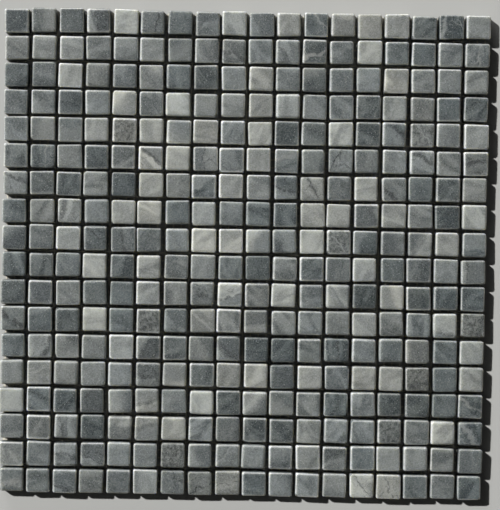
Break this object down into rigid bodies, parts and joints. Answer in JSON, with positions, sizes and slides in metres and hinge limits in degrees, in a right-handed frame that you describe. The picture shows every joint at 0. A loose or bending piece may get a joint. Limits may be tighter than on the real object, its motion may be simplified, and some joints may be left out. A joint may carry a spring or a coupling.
{
  "type": "mosaic tile sheet",
  "caption": "Square sheet of small tumbled marble mosaic tiles in mixed cool greys, carried on a glass-fibre backing net.",
  "frame": {"origin": "centre of the sheet on the underside of its backing net", "axes": "+Z out of the tiles' faces, +X along the tile rows, +Y along the tile columns"},
  "size_m": [0.304, 0.304, 0.0084],
  "materials": {
    "dark_grey_marble": "tumbled, matt",
    "mid_grey_marble": "tumbled, matt",
    "light_grey_marble": "tumbled, matt",
    "pale_marble": "tumbled, matt",
    "glass_yarn": "coated glass-fibre yarn"
  },
  "bodies": {
    "root": {"net_crosswise_yarns": "glass_yarn", "net_lengthwise_yarns": "glass_yarn", "dark_grey_tiles": "dark_grey_marble", "mid_grey_tiles": "mid_grey_marble", "light_grey_tiles": "light_grey_marble", "pale_tiles": "pale_marble"}
  },
  "joints": []
}
